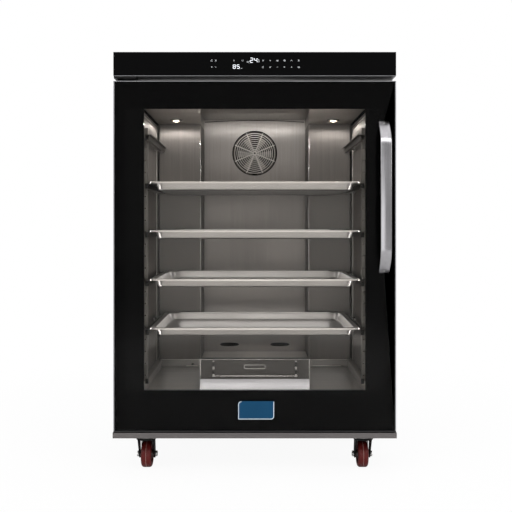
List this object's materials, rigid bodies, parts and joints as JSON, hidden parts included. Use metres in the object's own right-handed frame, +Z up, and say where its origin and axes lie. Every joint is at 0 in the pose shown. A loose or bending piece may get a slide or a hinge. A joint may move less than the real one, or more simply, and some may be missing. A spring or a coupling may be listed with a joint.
{
  "type": "dough proofing cabinet",
  "caption": "Glass-door dough proofing cabinet on swivel casters, with sliding trays, a circulation fan, a humidifier drawer, ceiling lamps and a touch control strip.",
  "frame": {"origin": "on the floor under the middle of the cabinet's envelope", "axes": "+Z up, the door faces -Y, +X is on the right seen from the front"},
  "size_m": [0.782, 0.78, 1.166],
  "materials": {
    "outer_steel": "brushed satin",
    "liner_steel": "brushed satin",
    "tray_steel": "bright satin",
    "base_steel": "brushed, darker",
    "rack_steel": "brushed satin",
    "black_border": "black ceramic print behind glass",
    "clear_glass": "clear",
    "control_black": "black glass",
    "frame_aluminium": "anodised",
    "handle_aluminium": "satin",
    "seal_rubber": "matt",
    "badge_blue": "plain blue enamel with a bright edge",
    "zinc": "zinc plated",
    "dark_zinc": "dark plated",
    "fastener": "bright",
    "wheel_maroon": "polyurethane tread",
    "board_green": "circuit board",
    "box_grey": "moulded",
    "black_plastic": "moulded",
    "wool": "mineral wool",
    "heater_tube": "dull",
    "motor_grey": "painted",
    "lamp_glow": "warm lit lens",
    "bush_brass": "machined"
  },
  "bodies": {
    "cabinet": {"base_frame": "base_steel", "side_panel_left": "outer_steel", "side_panel_right": "outer_steel", "front_frame": "outer_steel", "top_cover": "outer_steel", "rear_cover": "outer_steel", "rear_cover_screws": "fastener", "cable_gland": "black_plastic", "chamber_wall_left": "liner_steel", "chamber_wall_right": "liner_steel", "chamber_ceiling": "liner_steel", "chamber_floor": "liner_steel", "chamber_rear_wall": "liner_steel", "back_panels": "liner_steel", "alcove_sides": "liner_steel", "alcove_back": "liner_steel", "wall_insulation": "wool", "rack_uprights": "rack_steel", "rack_runners_left": "rack_steel", "rack_runners_right": "rack_steel", "humidifier_housing": "liner_steel", "evaporator_pan": "liner_steel", "humidifier_heater": "heater_tube", "fan_grille": "liner_steel", "fan_motor": "motor_grey", "heating_element": "heater_tube", "lamp_bezels": "fastener", "lamp_lenses": "lamp_glow", "control_glass": "control_black", "control_housing": "frame_aluminium", "control_board": "board_green", "power_box": "box_grey", "hinge_bracket_upper": "fastener", "hinge_bracket_lower": "fastener", "caster_plates": "zinc", "caster_bolts": "fastener"},
    "door": {"door_frame": "frame_aluminium", "door_glass_front": "clear_glass", "door_border": "black_border", "door_glass_back": "clear_glass", "door_gasket": "seal_rubber", "door_handle": "handle_aluminium", "handle_screws": "fastener", "door_badge": "badge_blue", "hinge_bushes": "bush_brass"},
    "fan": {"fan_impeller": "motor_grey"},
    "drawer": {"water_drawer": "liner_steel"},
    "tray_1": {"tray_1": "tray_steel"},
    "tray_2": {"tray_2": "tray_steel"},
    "tray_3": {"tray_3": "tray_steel"},
    "tray_4": {"tray_4": "tray_steel"},
    "fork_front_left": {"caster_fork_front_left": "dark_zinc"},
    "wheel_front_left": {"caster_wheel_front_left": "wheel_maroon"},
    "fork_front_right": {"caster_fork_front_right": "dark_zinc"},
    "wheel_front_right": {"caster_wheel_front_right": "wheel_maroon"},
    "fork_rear_left": {"caster_fork_rear_left": "dark_zinc"},
    "wheel_rear_left": {"caster_wheel_rear_left": "wheel_maroon"},
    "fork_rear_right": {"caster_fork_rear_right": "dark_zinc"},
    "wheel_rear_right": {"caster_wheel_rear_right": "wheel_maroon"}
  },
  "joints": [
    {"name": "door_hinge", "type": "hinge", "parent": "cabinet", "child": "door", "pos_m": [-0.376, -0.328, 0.604], "axis": [0, 0, -1], "range_deg": [0, 160]},
    {"name": "tray_1_slide", "type": "slide", "parent": "cabinet", "child": "tray_1", "axis": [0, -1, 0], "range_m": [0, 0.3077]},
    {"name": "tray_2_slide", "type": "slide", "parent": "cabinet", "child": "tray_2", "axis": [0, -1, 0], "range_m": [0, 0.2574]},
    {"name": "tray_3_slide", "type": "slide", "parent": "cabinet", "child": "tray_3", "axis": [0, -1, 0], "range_m": [0, 0.2071]},
    {"name": "tray_4_slide", "type": "slide", "parent": "cabinet", "child": "tray_4", "axis": [0, -1, 0], "range_m": [0, 0.1569]},
    {"name": "drawer_slide", "type": "slide", "parent": "cabinet", "child": "drawer", "axis": [0, -1, 0], "range_m": [0, 0.1401]},
    {"name": "fan_spin", "type": "hinge", "parent": "cabinet", "child": "fan", "pos_m": [0, 0.335, 0.949], "axis": [0, 1, 0], "continuous": true},
    {"name": "swivel_front_left", "type": "hinge", "parent": "cabinet", "child": "fork_front_left", "pos_m": [-0.3065, -0.29, 0.089], "axis": [0, 0, 1], "continuous": true},
    {"name": "roll_front_left", "type": "hinge", "parent": "fork_front_left", "child": "wheel_front_left", "pos_m": [-0.3065, -0.268, 0.0375], "axis": [1, 0, 0], "continuous": true},
    {"name": "swivel_front_right", "type": "hinge", "parent": "cabinet", "child": "fork_front_right", "pos_m": [0.3065, -0.29, 0.089], "axis": [0, 0, 1], "continuous": true},
    {"name": "roll_front_right", "type": "hinge", "parent": "fork_front_right", "child": "wheel_front_right", "pos_m": [0.3065, -0.268, 0.0375], "axis": [1, 0, 0], "continuous": true},
    {"name": "swivel_rear_left", "type": "hinge", "parent": "cabinet", "child": "fork_rear_left", "pos_m": [-0.3065, 0.308, 0.089], "axis": [0, 0, 1], "continuous": true},
    {"name": "roll_rear_left", "type": "hinge", "parent": "fork_rear_left", "child": "wheel_rear_left", "pos_m": [-0.3065, 0.33, 0.0375], "axis": [1, 0, 0], "continuous": true},
    {"name": "swivel_rear_right", "type": "hinge", "parent": "cabinet", "child": "fork_rear_right", "pos_m": [0.3065, 0.308, 0.089], "axis": [0, 0, 1], "continuous": true},
    {"name": "roll_rear_right", "type": "hinge", "parent": "fork_rear_right", "child": "wheel_rear_right", "pos_m": [0.3065, 0.33, 0.0375], "axis": [1, 0, 0], "continuous": true}
  ],
  "couplings": [
    {"joint": "tray_1_slide", "follows": "door_hinge", "m_per_rad": 0.11},
    {"joint": "tray_2_slide", "follows": "door_hinge", "m_per_rad": 0.092},
    {"joint": "tray_3_slide", "follows": "door_hinge", "m_per_rad": 0.074},
    {"joint": "tray_4_slide", "follows": "door_hinge", "m_per_rad": 0.056},
    {"joint": "drawer_slide", "follows": "door_hinge", "m_per_rad": 0.05}
  ]
}
